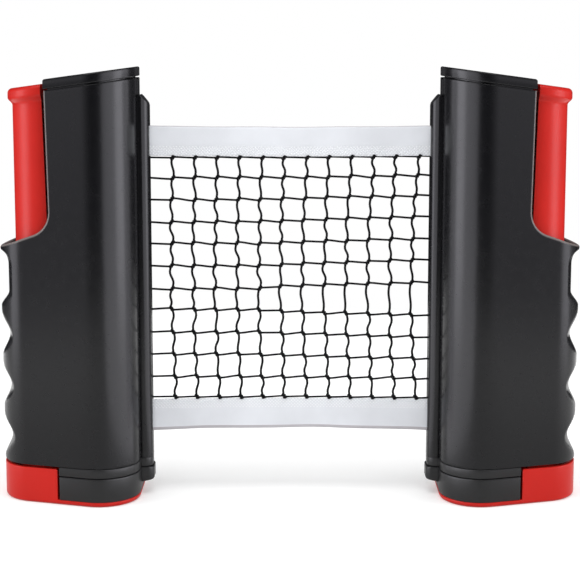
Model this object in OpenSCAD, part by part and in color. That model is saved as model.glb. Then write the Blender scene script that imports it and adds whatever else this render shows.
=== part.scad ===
// Retractable table tennis net: two sprung clamp posts that hold the net wound on spools.
// Both posts are the same set of pieces, mirrored about the middle of the net.
// X runs along the net, -Y is the front and Z = 0 is the surface that both feet stand on.
// Post sizes are measured outward from the rail where the net leaves the post.

/* [Net] */
// Height of the net's top edge above the table top
net_h = 152.5; // [140:0.5:185]
// Width of net drawn out between the two rails
net_span = 123.6; // [80:0.2:200]
// Width of the white tape along the top and bottom edges
tape_w = 13.8; // [10:0.1:18]
// Thickness of the folded tape
tape_t = 1.2; // [0.6:0.1:1.6]
// Distance from one vertical cord to the next
mesh_pitch = 10.1; // [8:0.1:20]
// Rows of openings between the two tapes
mesh_rows = 11; // [6:1:14]
// Height of the net's lower edge above the table top
net_clear = 15.32; // [14.5:0.01:30]
// Thickness of the mesh cord
cord_d = 0.9; // [0.6:0.1:1.4]
// Distance from the left rail to the first vertical cord
first_cord = 9.1; // [1:0.1:10]

/* [Casing] */
// Half of the casing's depth, front to middle
half_depth = 25; // [22:0.5:32]
// Radius of the casing's rounded corners and of the grip end
corner_r = 17; // [15:0.5:21]
// Distance from the rail face to the far end of the grip
grip_reach = 66.6; // [66:0.1:82]
// Wall thickness
wall = 2.2; // [1.6:0.1:3]
// Rise of the post above the top of the net, at the net end
head_room = 26.1; // [24.5:0.1:45]
// Slope of the casing top, down towards the grip
top_slope = 7.7; // [4:0.1:9]
// Thickness of the top cap
cap_t = 4.85; // [3.5:0.05:7]
// Shadow groove between cap and casing
cap_groove = 0.45; // [0.2:0.05:0.8]

/* [Net rail] */
// How far the rail stands out from the casing
rail_w = 5; // [3:0.1:8]
// Depth of the rail, both lips and the slot
rail_d = 11; // [9:0.5:14]
// Rail height above the top of the net
rail_rise = 13.9; // [8:0.1:18]
// Width of the slot that the net runs through
slot_w = 2.4; // [1.8:0.1:3.2]

/* [Grip] */
// Distance from one finger ridge to the next
finger_pitch = 22.9; // [18:0.1:24]
// Depth of the finger hollows
finger_depth = 3.7; // [2:0.1:3.9]
// Length of the index finger's long hollow, ridge to lip
index_len = 27.5; // [24:0.5:34]
// Radius of the grip's crown, seen from above
crown_r = 34.6; // [30:0.1:40]
// Slope of the open saddle above the grip
saddle_slope = 19.8; // [10:0.1:26]
// Radius of the saddle's inner corner
saddle_r = 11; // [6:0.5:14]

/* [Clamp] */
// Height of the closed jaw above the feet
jaw_z = 13; // [11:0.5:20]
// Largest table thickness that the jaw takes
jaw_travel = 50; // [30:1:52]
// Thickness of the upper jaw pad
upper_pad_t = 4; // [3:0.1:6]
// Thickness of the red plate under the lower jaw pad
plate_t = 2.2; // [1.6:0.1:4]
// Gap between the closed pads
jaw_gap = 0.3; // [0.3:0.05:0.6]
// Length of the pads along the net, behind the rail face
pad_len = 39.6; // [34:0.1:39.8]

/* [Plunger] */
// Radius of the plunger's rounded face
plunger_r = 15; // [13:0.1:16]
// Thickness of the plunger's wall
plunger_wall = 2; // [1.6:0.1:2.6]
// How far the thumb rim stands out
rim_out = 2; // [1:0.1:2.2]
// Height of the thumb rim
rim_h = 3.9; // [2:0.1:6]
// Height of the flare below the rim
flare_h = 3.5; // [2:0.1:6]
// Step from the cap's top face down to the plunger's
plunger_drop = 1.4; // [0.5:0.1:4]

/* [Clamp spring] */
// Mean radius of the spring
spring_r = 5; // [4:0.1:5.4]
// Diameter of the spring wire
wire_d = 1.2; // [0.8:0.1:1.6]
// Number of curls in one spring
spring_curls = 18; // [10:1:22]
// Radius of the rod inside the spring
guide_r = 3; // [2:0.1:3.4]

/* [Spool] */
// Radius of the net wound on the spool
roll_r = 14.6; // [12:0.1:14.8]
// Radius of the spool's core
core_r = 5; // [4.5:0.1:6]
// Radius of the steel spindle
spindle_r = 2; // [1.5:0.1:2.2]
// Thickness of the spool's flanges
flange_t = 1.4; // [1:0.1:2]
// Height of the rewind spring's drum
drum_h = 7.4; // [6:0.1:8]
// Turns of the flat rewind spring
rewind_turns = 7; // [4:1:9]
// Thickness of the flat rewind spring
strip_t = 0.4; // [0.2:0.05:0.6]

/* [Screws] */
// Radius of the screw shank
screw_r = 1.25; // [1:0.05:1.4]
// Radius of the screw head
head_r = 2.3; // [2:0.1:2.5]
// Height of the screw head
head_h = 1.8; // [1.2:0.1:2]

/* [Hidden] */
$fn = 48;

black = [0.14, 0.14, 0.15];
rubber = [0.20, 0.20, 0.20];
red = [0.80, 0.20, 0.17];
steel = [0.72, 0.73, 0.75];
spool_grey = [0.55, 0.56, 0.58];
tape_white = [0.92, 0.93, 0.95];
cord_black = [0.08, 0.08, 0.09];

// Clearances
fit = 0.02;          // a pin held between the two shells
running = 0.06;      // the spool on its spindle
sliding = 0.25;      // the plunger in the grip
near = 0.3;          // pieces that pass or lie loosely against each other
seam = 0.15;         // cap tabs in the casing
over = 1;            // cutters run past what they cut
far = 120;           // larger than any one post

// Heights
casing_z = jaw_z + upper_pad_t;
net_top = jaw_z + net_h;
net_bottom = jaw_z + net_clear;
mesh_h = net_h - net_clear - 2 * tape_w;
row_pitch = (mesh_h - cord_d) / mesh_rows;
post_top = net_top + head_room;
rail_top = net_top + rail_rise;
pad_top = jaw_z - jaw_gap;

// Casing outline: three circles of corner_r, two at the net end and one in the grip
corner_u = rail_w + corner_r;
corner_y = half_depth - corner_r;
grip_u = grip_reach - corner_r;
flank = atan2(grip_u - corner_u, corner_y);

// Spool and partition
roll_gap = 1;
spool_u = rail_w + wall + roll_gap + roll_r;
roll_end = spool_u + roll_r;
part_t = 2;
part_u = roll_end + 2.4;
part_end = part_u + part_t;
net_end_u = spool_u - roll_r - near;

// Slider chamber, turned about a line inside the casing so that the grip is crowned
crown_u = grip_reach - crown_r;
hollow_reach = crown_r - finger_depth;
chamber_r = hollow_reach - wall + 0.05;
plunger_reach = crown_u + chamber_r - sliding;
plunger_u = plunger_reach - plunger_r;
plunger_face_u = plunger_u - 0.4;

// Opening edge and saddle, seen from the front
edge_top_u = plunger_face_u - 1.7;
edge_low_u = edge_top_u - 1;
ridge_z = casing_z + 3 * finger_pitch;
lip_z = ridge_z + index_len;
tip_u = grip_reach + 0.2;
saddle_cu = edge_low_u + saddle_r;
saddle_cz = saddle_z(saddle_cu) + saddle_r / cos(saddle_slope);

// Spool stack, from the casing floor upwards
floor_top = casing_z + wall;
boss_top = floor_top + 4.4;
spool_z = net_bottom - near - flange_t;
spool_top = net_top + near + flange_t;
drum_top = spool_top + drum_h;
drum_wall = 1.2;
lid_t = 1;
bush_h = 2.5;
bush_r = core_r + 0.5;
shelf_t = 3;
plate_z = drum_top + 0.1 + bush_h;
spindle_z = floor_top + 0.2;
spindle_top = plate_z + shelf_t - 0.2;

// Clamp spring between the casing's shelf and the plunger's ceiling
shelf_z = casing_z + 41;
seat_depth = 0.6;
spring_side = 2.4;
spring_u = plunger_u + plunger_r - plunger_wall - spring_side - wire_d / 2 - spring_r;
spring_z = shelf_z + shelf_t;
ceiling_z = top_z(plunger_reach) - plunger_drop - rim_h - flare_h + 1;
guide_top = ceiling_z - jaw_travel - 10;
shelf_half = spring_r + 1;
shelf_end = spring_u + spring_r + 0.5;

// Foot
foot_wall_u = pad_len + 0.8;
foot_top = casing_z - 1.1;
sole_t = 4.4;
heel_t = 5;
heel_screw_y = 7;

// Screws through the casing, each [outward, height]
screw_seat = 11;
screw_end = -6;
boss_r = screw_r + 1.35;
wide_boss_r = head_r + 1.2;
boss_sunk = 0.6;
screw_side = 11;
screw_low_z = floor_top + boss_r - boss_sunk;
screw_high_z = plate_z + shelf_t / 2 - 0.1;
screw_mid_u = (roll_end + boss_r + plunger_face_u - wide_boss_r) / 2;
screw_spots = [
    [spool_u - screw_side, screw_low_z], [spool_u + screw_side, screw_low_z],
    [screw_mid_u, shelf_z + 20],
    [spool_u - screw_side, screw_high_z], [spool_u + screw_side, screw_high_z]
];

// Height of the cap's top face at a distance u from the rail face
function top_z(u) = post_top - tan(top_slope) * (u - rail_w);

// Height of the saddle's straight slope at u
function saddle_z(u) = lip_z + tan(saddle_slope) * (tip_u - u);

// Points along an arc from angle a0 to a1
function arc(c, r, a0, a1, n) =
    [for (i = [0:n]) let (a = a0 + (a1 - a0) * i / n) [c[0] + r * cos(a), c[1] + r * sin(a)]];

// Casing outline from above, drawn in by d
function outline(d) = concat(
    arc([grip_u, 0], corner_r - d, -flank, flank, 18),
    arc([corner_u, corner_y], corner_r - d, flank, 180, 12),
    arc([corner_u, -corner_y], corner_r - d, 180, 360 - flank, 12)
);

// Reach of the grip from the crown line at height z: finger ridges, long hollow, lip
function ridge(t) = (1 + cos(t)) / 2;
function grip_r(z) =
    let (
        climb = 7.5,
        flare = 6.5,
        up = z - ridge_z,
        to_lip = lip_z - 1.5 - z
    )
    hollow_reach + finger_depth * (
        up <= 0 ? ridge(360 * up / finger_pitch)
        : up < climb ? ridge(180 * up / climb)
        : to_lip > flare ? 0
        : to_lip > 0 ? 1 - sqrt(1 - pow(1 - to_lip / flare, 2))
        : 1
    );

// Puts a piece in the left (-1) or the right (1) post
module post(side) {
    translate([side * net_span / 2, 0, 0])
        if (side < 0) mirror([1, 0, 0]) children();
        else children();
}

// A profile of [outward, height] points, run through the post from front to back
module through(points, y0, y1) {
    translate([0, y1, 0]) rotate([90, 0, 0]) linear_extrude(y1 - y0) polygon(points);
}

// The space between two faces that follow the sloping top
module top_slab(low, high) {
    through([
        [-over, top_z(-over) + low], [far, top_z(far) + low],
        [far, top_z(far) + high], [-over, top_z(-over) + high]
    ], -far / 2, far / 2);
}

// Upright block between two distances from the rail face
module block(u0, u1, half_y, z0, z1) {
    translate([u0, -half_y, z0]) cube([u1 - u0, 2 * half_y, z1 - z0]);
}

// Cylinder along Y at [outward, height]
module bar(spot, r, y0, y1) {
    translate([spot[0], y1, spot[1]]) rotate([90, 0, 0]) cylinder(r = r, h = y1 - y0);
}

module casing_outline(d, z0, z1) {
    translate([0, 0, z0]) linear_extrude(z1 - z0) polygon(outline(d));
}

// What the saddle leaves open: everything outward of the edge and above the slope
module saddle_cut() {
    through(concat(
        [[far, saddle_z(far)]],
        arc([saddle_cu, saddle_cz], saddle_r, 270 - saddle_slope, 180, 8),
        [[edge_top_u, top_z(edge_top_u)], [edge_top_u, post_top + over], [far, post_top + over]]
    ), -far / 2, far / 2);
}

// Ring that shapes the finger side of the grip
module finger_cut() {
    steps = 56;
    z0 = casing_z - over;
    z1 = lip_z + 2;
    intersection() {
        translate([crown_u, 0, 0]) rotate_extrude($fn = 96) polygon(concat(
            [for (i = [0:steps]) let (z = z0 + (z1 - z0) * i / steps) [grip_r(z), z]],
            [[far / 2, z1], [far / 2, z0]]
        ));
        block(grip_u, far, far / 2, z0 - over, z1 + over);
    }
}

// Rail with its rounded top corner
module rail(u1) {
    corner = 3.8;
    through(concat(
        [[0, casing_z], [u1, casing_z], [u1, rail_top]],
        arc([corner, rail_top - corner], corner, 90, 180, 8)
    ), -rail_d / 2, rail_d / 2);
}

module slider_chamber(z0, z1) {
    lead_in = 6;
    intersection() {
        casing_outline(wall, z0, z1);
        union() {
            translate([crown_u, 0, z0]) cylinder(r = chamber_r, h = z1 - z0, $fn = 96);
            translate([crown_u, 0, lip_z - lead_in])
                cylinder(r1 = chamber_r, r2 = chamber_r + 2, h = 2 * lead_in, $fn = 96);
        }
        block(part_end, far, far / 2, z0, z1);
    }
}

module spool_chamber() {
    intersection() {
        casing_outline(wall, floor_top, post_top + over);
        block(0, part_u, far / 2, floor_top, post_top + over);
    }
}

// Both shells together, before they are parted at y = 0
module casing() {
    difference() {
        union() {
            difference() {
                union() {
                    casing_outline(0, casing_z, post_top);
                    rail(rail_w + wall);
                }
                finger_cut();
                saddle_cut();
                spool_chamber();
                slider_chamber(casing_z - over, post_top + over);
            }
            // boss and plate that hold the spindle
            translate([spool_u, 0, floor_top]) cylinder(r = core_r + 1, h = boss_top - floor_top);
            intersection() {
                casing_outline(wall / 2, plate_z, plate_z + shelf_t);
                block(0, part_u + part_t / 2, far / 2, plate_z, plate_z + shelf_t);
            }
            // shelf under the clamp spring
            block(part_u + part_t / 2, shelf_end, shelf_half, shelf_z, shelf_z + shelf_t);
        }
        top_slab(-cap_t, far);
        translate([spool_u, 0, spindle_z]) cylinder(r = spindle_r + fit, h = post_top - spindle_z);
        translate([spring_u, 0, shelf_z + seat_depth]) cylinder(r = guide_r + fit, h = shelf_t);
        block(-over, rail_w + wall + over, slot_w / 2, net_bottom - near, net_top + near);
    }
}

module shell_half(front) {
    intersection() {
        casing();
        translate([-far / 2, front ? -far : 0, 0]) cube([2 * far, far, 2 * far]);
    }
}

module front_shell(side) {
    color(black) post(side) difference() {
        union() {
            shell_half(true);
            for (spot = screw_spots) intersection() {
                bar(spot, boss_r, -half_depth, 0);
                casing_outline(wall / 2, casing_z, post_top);
            }
        }
        for (spot = screw_spots) bar(spot, screw_r + fit, screw_end - 2, over);
    }
}

module rear_shell(side) {
    seat_t = 1.6;
    color(black) post(side) difference() {
        union() {
            shell_half(false);
            for (spot = screw_spots) intersection() {
                union() {
                    bar(spot, boss_r, 0, screw_seat);
                    bar(spot, wide_boss_r, screw_seat - seat_t, half_depth);
                }
                casing_outline(wall / 2, casing_z, post_top);
            }
        }
        for (spot = screw_spots) {
            bar(spot, screw_r + near, -over, screw_seat + over);
            bar(spot, head_r + near, screw_seat, half_depth + over);
        }
    }
}

module top_cap(side) {
    tab = 1.3;
    tab_depth = 1.4;
    groove_in = 0.7;
    color(black) post(side) {
        intersection() {
            casing_outline(0, 0, post_top + over);
            top_slab(cap_groove - cap_t, 0);
            block(0, edge_top_u, far / 2, 0, post_top + over);
        }
        intersection() {
            casing_outline(groove_in, 0, post_top + over);
            top_slab(-cap_t, cap_groove - cap_t + 0.1);
            block(0, edge_top_u - groove_in, far / 2, 0, post_top + over);
        }
        // tabs that locate the cap inside the walls
        intersection() {
            difference() {
                casing_outline(wall + seam, 0, post_top + over);
                casing_outline(wall + seam + tab, -over, post_top + 2 * over);
            }
            top_slab(-cap_t - tab_depth, -cap_t + 0.1);
            union() {
                block(0, rail_w + corner_r / 2, corner_y, 0, post_top + over);
                block(corner_u - 4, corner_u + 4, far / 2, 0, post_top + over);
            }
        }
    }
}

module upper_jaw_pad(side) {
    color(rubber) post(side) intersection() {
        union() {
            casing_outline(0, jaw_z, casing_z);
            block(0, 2 * rail_w, rail_d / 2, jaw_z, casing_z);
        }
        block(-over, pad_len, far / 2, jaw_z, casing_z);
    }
}

module lower_jaw_pad(side) {
    lug_out = 0.6;
    lug_h = 5.8;
    color(rubber) post(side) intersection() {
        union() {
            casing_outline(0, plate_t, pad_top);
            through([
                [-lug_out, pad_top], [-lug_out, pad_top - lug_h],
                [rail_w + 1, pad_top - lug_h - 1.4], [rail_w + 1, pad_top]
            ], -rail_d / 2, rail_d / 2);
        }
        block(-rail_w, pad_len, far / 2, plate_t, pad_top);
    }
}

module foot(side) {
    color(red) post(side) difference() {
        union() {
            casing_outline(0, 0, plate_t);
            intersection() {
                casing_outline(0, 0, foot_top);
                block(foot_wall_u, far, far / 2, 0, foot_top);
            }
        }
        intersection() {
            casing_outline(wall, sole_t, foot_top + over);
            block(foot_wall_u + wall, far, far / 2, sole_t, foot_top + over);
        }
        for (y = [-1, 1]) translate([spring_u, y * heel_screw_y, 0]) {
            translate([0, 0, -over]) cylinder(r = screw_r + near, h = sole_t + 2 * over);
            translate([0, 0, -over]) cylinder(r = head_r + near, h = plate_t + over);
        }
    }
}

// Plunger section of a given radius, flat on the side that faces the casing
module plunger_section(r, z0, z1) {
    intersection() {
        translate([plunger_u, 0, z0]) cylinder(r = r, h = z1 - z0, $fn = 64);
        block(plunger_face_u, far, far / 2, z0, z1);
    }
}

module plunger(side) {
    top = -plunger_drop;
    spigot_h = 5;
    color(red) post(side) {
        difference() {
            intersection() {
                plunger_section(plunger_r, sole_t, post_top);
                top_slab(-far * 2, top - rim_h / 2);
            }
            translate([plunger_u, 0, sole_t + heel_t])
                cylinder(r = plunger_r - plunger_wall, h = ceiling_z - sole_t - heel_t, $fn = 64);
            for (y = [-1, 1]) translate([spring_u, y * heel_screw_y, sole_t - over])
                cylinder(r = screw_r + fit, h = heel_t + 2 * over);
        }
        intersection() {
            plunger_section(plunger_r + rim_out, 0, post_top);
            top_slab(top - rim_h, top);
        }
        hull() {
            intersection() {
                plunger_section(plunger_r + rim_out, 0, post_top);
                top_slab(top - rim_h, top - rim_h + 0.1);
            }
            intersection() {
                plunger_section(plunger_r, 0, post_top);
                top_slab(top - rim_h - flare_h, top - rim_h - flare_h + 0.1);
            }
        }
        // spigot that centres the spring
        translate([spring_u, 0, ceiling_z - spigot_h]) cylinder(r = guide_r, h = spigot_h + over / 2);
    }
}

// Points along the clamp spring's wire
spring_len = ceiling_z - spring_z - 2 * near - wire_d;
curl_rings = 8;
function coil_point(i) =
    let (a = 360 * i / curl_rings)
    [spring_r * cos(a), spring_r * sin(a), spring_len * i / (spring_curls * curl_rings)];
coil_points = [for (i = [0:spring_curls * curl_rings]) coil_point(i)];
coil_gap = min([for (i = [0:len(coil_points) - curl_rings - 1], j = [-1:1])
    norm(coil_points[i + curl_rings] - coil_points[max(0, i + j)])]) - wire_d;
echo(str("least gap between curls of the clamp spring: ", coil_gap));

// Round tube of six sides along a list of points
module tube(points, r) {
    sides = 6;
    last = len(points) - 1;
    function ring(i) =
        let (
            ahead = points[min(last, i + 1)] - points[max(0, i - 1)],
            t = ahead / norm(ahead),
            outward = cross(t, [0, 0, 1]),
            n = outward / norm(outward),
            b = cross(t, n)
        )
        [for (k = [0:sides - 1]) points[i] + r * (cos(360 * k / sides) * n + sin(360 * k / sides) * b)];
    polyhedron(
        points = [for (i = [0:last]) each ring(i)],
        faces = concat(
            [for (k = [1:sides - 2]) [0, k, k + 1]],
            [for (i = [0:last - 1], k = [0:sides - 1], half = [0, 1])
                let (p = i * sides, q = (k + 1) % sides)
                half == 0 ? [p + k, p + sides + k, p + q] : [p + q, p + sides + k, p + sides + q]],
            [for (k = [1:sides - 2]) [last * sides, last * sides + k + 1, last * sides + k]]
        )
    );
}

module clamp_spring(side) {
    color(steel) post(side)
        translate([spring_u, 0, spring_z + near + wire_d / 2]) tube(coil_points, wire_d / 2);
}

module spring_guide(side) {
    color(steel) post(side) translate([spring_u, 0, shelf_z + seat_depth])
        cylinder(r = guide_r, h = guide_top - shelf_z - seat_depth);
}

module spindle(side) {
    color(steel) post(side)
        translate([spool_u, 0, spindle_z]) cylinder(r = spindle_r, h = spindle_top - spindle_z);
}

// Ring round the spindle
module bush(z0, z1, r) {
    translate([spool_u, 0, z0]) difference() {
        cylinder(r = r, h = z1 - z0);
        translate([0, 0, -over]) cylinder(r = spindle_r + running, h = z1 - z0 + 2 * over);
    }
}

module lower_bush(side) {
    color(tape_white) post(side) bush(boss_top, spool_z - 0.1, bush_r);
}

module upper_bush(side) {
    color(tape_white) post(side) bush(plate_z - bush_h, plate_z, bush_r);
}

// Groove in the core that takes the end of the net and its rod
rod_r = 0.9;
rod_y = core_r - 1.1;

module spool(side) {
    color(spool_grey) post(side) translate([spool_u, 0, 0]) difference() {
        union() {
            translate([0, 0, spool_z]) cylinder(r = core_r, h = spool_top - spool_z);
            translate([0, 0, spool_z]) cylinder(r = roll_r, h = flange_t);
            translate([0, 0, spool_top - flange_t]) cylinder(r = roll_r, h = flange_t);
        }
        translate([0, 0, spool_z - over])
            cylinder(r = spindle_r + running, h = spool_top - spool_z + 2 * over);
        translate([-rod_r - 0.1, rod_y - rod_r - 0.1, net_bottom])
            cube([2 * rod_r + 0.2, core_r, net_top - net_bottom]);
    }
}

module net_rod(side) {
    color(tape_white) post(side)
        translate([spool_u, rod_y, net_bottom + 0.1]) cylinder(r = rod_r, h = net_top - net_bottom - 0.2);
}

module spring_drum(side) {
    color(black) post(side) translate([spool_u, 0, spool_top]) difference() {
        cylinder(r = roll_r, h = drum_h);
        translate([0, 0, drum_wall]) cylinder(r = roll_r - drum_wall, h = drum_h);
        translate([0, 0, -over]) cylinder(r = spindle_r + running, h = drum_h);
    }
}

module drum_lid(side) {
    color(spool_grey) post(side) bush(drum_top - lid_t, drum_top, roll_r - drum_wall - 0.1);
}

module rewind_spring(side) {
    turn_steps = 18;
    steps = rewind_turns * turn_steps;
    r0 = spindle_r + near;
    r1 = roll_r - drum_wall - near - strip_t;
    function spiral(d) = [for (i = [0:steps])
        let (a = 360 * i / turn_steps, r = r0 + (r1 - r0) * i / steps + d) [r * cos(a), r * sin(a)]];
    inner = spiral(0);
    outer = spiral(strip_t);
    color(steel) post(side) translate([spool_u, 0, spool_top + drum_wall + near])
        linear_extrude(drum_h - drum_wall - lid_t - 2 * near)
        polygon(concat(outer, [for (i = [steps:-1:0]) inner[i]]));
}

// Layers of net round the core, between two heights
module winding(z0, z1) {
    translate([spool_u, 0, z0]) difference() {
        cylinder(r = roll_r, h = z1 - z0);
        translate([0, 0, -over]) cylinder(r = core_r + 0.1, h = z1 - z0 + 2 * over);
    }
}

module wound_net(side) {
    color(cord_black) post(side) winding(net_bottom + tape_w, net_top - tape_w);
}

module wound_tape(side) {
    color(tape_white) post(side) {
        winding(net_bottom, net_bottom + tape_w);
        winding(net_top - tape_w, net_top);
    }
}

// Pan-head screw along Y with its head at the back, from the head's seat
module screw(length) {
    slot = 0.6;
    difference() {
        union() {
            rotate([90, 0, 0]) cylinder(r = screw_r, h = length);
            rotate([-90, 0, 0]) cylinder(r = head_r, h = head_h);
        }
        for (a = [0, 90]) rotate([0, a, 0])
            translate([-head_r / 1.6, head_h - 0.9, -slot / 2]) cube([head_r * 1.25, 1, slot]);
    }
}

module casing_screws(side) {
    color(steel) post(side) for (spot = screw_spots)
        translate([spot[0], screw_seat, spot[1]]) screw(screw_seat - screw_end);
}

module foot_screws(side) {
    color(steel) post(side) for (y = [-1, 1])
        translate([spring_u, y * heel_screw_y, plate_t]) rotate([-90, 0, 0]) screw(sole_t - plate_t + heel_t);
}

// Net: cords and tapes run into both rails up to the rolls
net_reach = net_span / 2 + net_end_u;
mesh_bottom = net_bottom + tape_w;
first_x = first_cord - net_span / 2;
cord_from = -floor((net_reach + first_x) / mesh_pitch);
cord_to = floor((net_reach - first_x) / mesh_pitch);

module net_mesh() {
    opening = [mesh_pitch - cord_d, row_pitch - cord_d];
    color(cord_black) rotate([90, 0, 0]) linear_extrude(cord_d, center = true) difference() {
        translate([-net_reach, mesh_bottom]) square([2 * net_reach, mesh_h]);
        for (column = [cord_from:cord_to - 1], row = [0:mesh_rows - 1])
            translate([
                first_x + column * mesh_pitch + cord_d / 2,
                mesh_bottom + row * row_pitch + cord_d
            ]) square(opening);
    }
}

module tape(z0) {
    color(tape_white) translate([-net_reach, -tape_t / 2, z0]) cube([2 * net_reach, tape_t, tape_w]);
}

module top_tape() { tape(net_top - tape_w); }
module bottom_tape() { tape(net_bottom); }

module left_front_shell() { front_shell(-1); }
module left_rear_shell() { rear_shell(-1); }
module left_top_cap() { top_cap(-1); }
module left_upper_jaw_pad() { upper_jaw_pad(-1); }
module left_plunger() { plunger(-1); }
module left_foot() { foot(-1); }
module left_lower_jaw_pad() { lower_jaw_pad(-1); }
module left_clamp_spring() { clamp_spring(-1); }
module left_spring_guide() { spring_guide(-1); }
module left_spindle() { spindle(-1); }
module left_lower_bush() { lower_bush(-1); }
module left_upper_bush() { upper_bush(-1); }
module left_spool() { spool(-1); }
module left_spring_drum() { spring_drum(-1); }
module left_drum_lid() { drum_lid(-1); }
module left_rewind_spring() { rewind_spring(-1); }
module left_net_rod() { net_rod(-1); }
module left_wound_net() { wound_net(-1); }
module left_wound_tape() { wound_tape(-1); }
module left_casing_screws() { casing_screws(-1); }
module left_foot_screws() { foot_screws(-1); }
module right_front_shell() { front_shell(1); }
module right_rear_shell() { rear_shell(1); }
module right_top_cap() { top_cap(1); }
module right_upper_jaw_pad() { upper_jaw_pad(1); }
module right_plunger() { plunger(1); }
module right_foot() { foot(1); }
module right_lower_jaw_pad() { lower_jaw_pad(1); }
module right_clamp_spring() { clamp_spring(1); }
module right_spring_guide() { spring_guide(1); }
module right_spindle() { spindle(1); }
module right_lower_bush() { lower_bush(1); }
module right_upper_bush() { upper_bush(1); }
module right_spool() { spool(1); }
module right_spring_drum() { spring_drum(1); }
module right_drum_lid() { drum_lid(1); }
module right_rewind_spring() { rewind_spring(1); }
module right_net_rod() { net_rod(1); }
module right_wound_net() { wound_net(1); }
module right_wound_tape() { wound_tape(1); }
module right_casing_screws() { casing_screws(1); }
module right_foot_screws() { foot_screws(1); }

left_front_shell();
left_rear_shell();
left_top_cap();
left_upper_jaw_pad();
left_plunger();
left_foot();
left_lower_jaw_pad();
left_clamp_spring();
left_spring_guide();
left_spindle();
left_lower_bush();
left_upper_bush();
left_spool();
left_spring_drum();
left_drum_lid();
left_rewind_spring();
left_net_rod();
left_wound_net();
left_wound_tape();
left_casing_screws();
left_foot_screws();
right_front_shell();
right_rear_shell();
right_top_cap();
right_upper_jaw_pad();
right_plunger();
right_foot();
right_lower_jaw_pad();
right_clamp_spring();
right_spring_guide();
right_spindle();
right_lower_bush();
right_upper_bush();
right_spool();
right_spring_drum();
right_drum_lid();
right_rewind_spring();
right_net_rod();
right_wound_net();
right_wound_tape();
right_casing_screws();
right_foot_screws();
net_mesh();
top_tape();
bottom_tape();
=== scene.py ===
# Retractable table tennis net: two spring clamp posts with the net drawn out between them.
import math

import bmesh
import bpy
import numpy as np
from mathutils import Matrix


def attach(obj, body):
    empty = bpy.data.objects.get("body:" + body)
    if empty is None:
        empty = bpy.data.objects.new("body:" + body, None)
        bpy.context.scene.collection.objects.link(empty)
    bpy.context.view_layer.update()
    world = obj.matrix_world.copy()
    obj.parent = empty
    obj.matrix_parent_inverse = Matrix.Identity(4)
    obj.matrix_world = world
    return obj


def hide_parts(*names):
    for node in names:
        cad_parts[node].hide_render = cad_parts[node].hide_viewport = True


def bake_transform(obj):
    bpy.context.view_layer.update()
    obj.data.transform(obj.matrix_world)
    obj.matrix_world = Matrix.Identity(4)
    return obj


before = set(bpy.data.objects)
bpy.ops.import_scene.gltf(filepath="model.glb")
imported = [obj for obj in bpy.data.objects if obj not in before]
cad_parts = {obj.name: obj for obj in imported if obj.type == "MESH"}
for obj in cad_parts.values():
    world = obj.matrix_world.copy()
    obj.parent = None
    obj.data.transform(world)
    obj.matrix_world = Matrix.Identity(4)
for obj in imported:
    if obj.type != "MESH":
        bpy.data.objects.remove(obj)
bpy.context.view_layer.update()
mm = 0.001

# The camera stands in front of the net, a little above it, and looks down by some 7 degrees.
bpy.ops.object.select_all(action="DESELECT")
bpy.ops.object.camera_add(location=(0, -0.630, 0.201), rotation=(math.radians(82.62), 0, 0))
camera = bpy.context.object
camera.name = "camera"
camera.data.sensor_width = 36
camera.data.lens = 88.82
camera.data.shift_y = -0.1034
camera.data.clip_start = 0.01
bpy.context.scene.camera = camera

# ------------------------------------------------------------------ casing shells
# Each post's casing is two shells moulded in satin black plastic, 2.2 mm thick, that meet on the
# net's plane. The grip has finger ridges and a long hollow under the lip of the saddle.
net_half = 61.8  # rail face to the middle of the net; u is measured outwards from the rail face
rail_u, corner_r, corner_y, grip_u = 5.0, 17.0, 8.0, 49.6
flank = math.atan2(grip_u - rail_u - corner_r, corner_y)
flank_l = math.hypot(grip_u - rail_u - corner_r, corner_y)
wall_t, casing_z, post_top, cap_t, top_slope = 2.2, 17.0, 191.6, 4.85, math.radians(7.7)
edge_top_u, edge_low_u, edge_top_z, edge_h = 43.4, 42.4, 180.0, 50.0  # edge of the thumb plunger's opening
saddle_u, saddle_z, saddle_r, saddle_lean = 53.4, 129.71, 11.0, math.radians(19.8)
tip_u, lip_z, ridge_z, climb_h, cove_h = 66.8, 113.2, 85.7, 7.5, 6.5
under_lip = lip_z - 1.5
crown_u, hollow_r, finger_depth, finger_pitch, chamber_r = 32.0, 30.9, 3.7, 22.9, 28.75
part_u, part_end = 39.8, 41.8
spring_u, shelf_z, floor_top = 50.5, 58.0, 19.2
screw_spots = [(11.8, 21.2), (33.8, 21.2), (40.8, 78.0), (11.8, 178.6), (33.8, 178.6)]
start_y = 3.0  # the shell's wall starts behind the rail
flat_l = corner_y - start_y
bend_l = flat_l + corner_r * (math.pi - flank)
s_end = bend_l + flank_l + corner_r * flank
edge_r, rim_r = 1.1, 0.45


def top_z(u):
    """Height of the cap's sloping top."""
    return post_top - math.tan(top_slope) * (u - rail_u)


def outline(s, inset=0.0):
    """Points of the casing's outline at s along it, its outward directions and their angles."""
    s = np.asarray(s, float)
    a = np.where(s < bend_l, math.pi - np.clip((s - flat_l) / corner_r, 0, None),
                 flank - np.clip((s - bend_l - flank_l) / corner_r, 0, None))
    n = np.stack([np.cos(a), np.sin(a)], -1)
    on = np.clip(s - bend_l, 0, flank_l)
    c = np.stack([rail_u + corner_r + on * math.sin(flank), corner_y - on * math.cos(flank)
                  + np.minimum(s - flat_l, 0)], -1)
    return c + (corner_r - inset) * n, n, a


def s_at(u):
    """Where the flank passes u."""
    return bend_l + (u - rail_u - corner_r - corner_r * math.cos(flank)) / math.sin(flank)


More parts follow.
